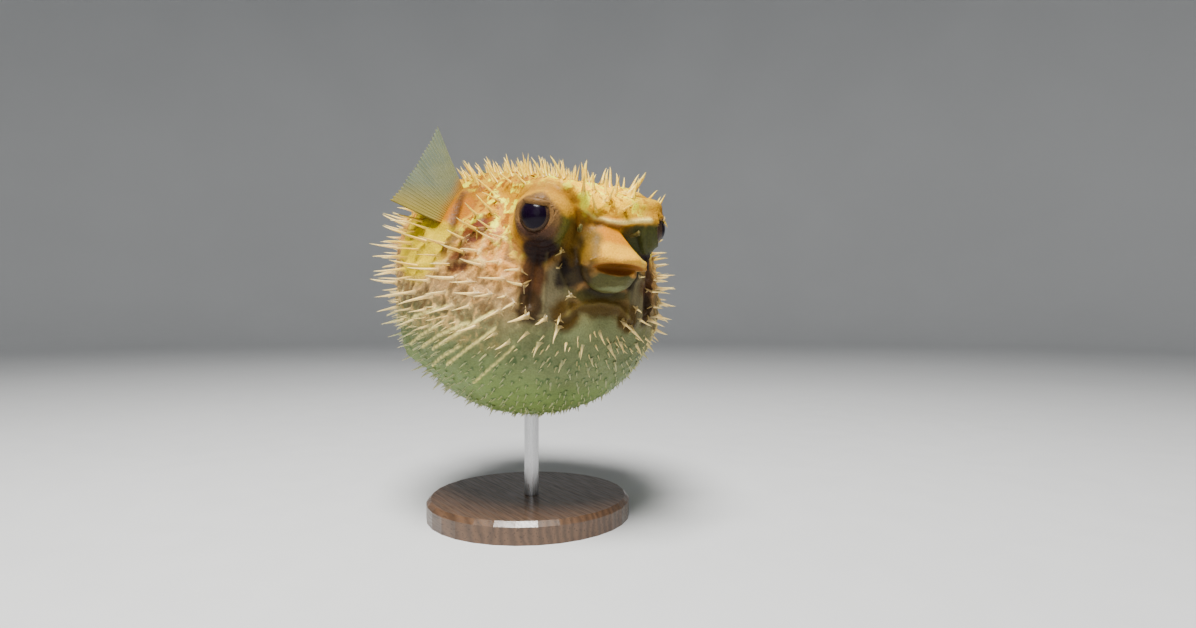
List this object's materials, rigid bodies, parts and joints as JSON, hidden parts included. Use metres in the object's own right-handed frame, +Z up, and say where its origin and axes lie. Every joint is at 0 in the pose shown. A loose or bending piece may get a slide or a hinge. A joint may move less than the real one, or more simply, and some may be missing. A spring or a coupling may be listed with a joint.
{
  "type": "porcupinefish model",
  "caption": "Life-size still model of a puffed-up porcupinefish (spiny pufferfish) with its spines raised, held over a flat round base by a short rod.",
  "frame": {"origin": "centre of the stand's underside, on the floor", "axes": "+X towards the snout, +Y to the fish's left, +Z up; the fish's nose is 12 degrees below +X"},
  "size_m": [0.2673, 0.2092, 0.2633],
  "materials": {
    "skin": "moist fish skin, spiny, yellow above and pale sage green below",
    "eye": "wet, glossy, dark pupil in a brown iris",
    "fin": "thin yellow-green fin with fine rays",
    "stand_wood": "dark oiled wood",
    "stand_steel": "satin steel"
  },
  "bodies": {
    "root": {"head": "skin", "trunk": "skin", "tail": "skin", "upper_jaw": "skin", "lower_jaw": "skin", "nostril_right": "skin", "nostril_left": "skin", "eye_right": "eye", "eye_left": "eye", "pectoral_fin_right": "fin", "pectoral_fin_left": "fin", "dorsal_fin": "fin", "anal_fin": "fin", "caudal_fin": "fin", "stand_base": "stand_wood", "stand_rod": "stand_steel"}
  },
  "joints": []
}
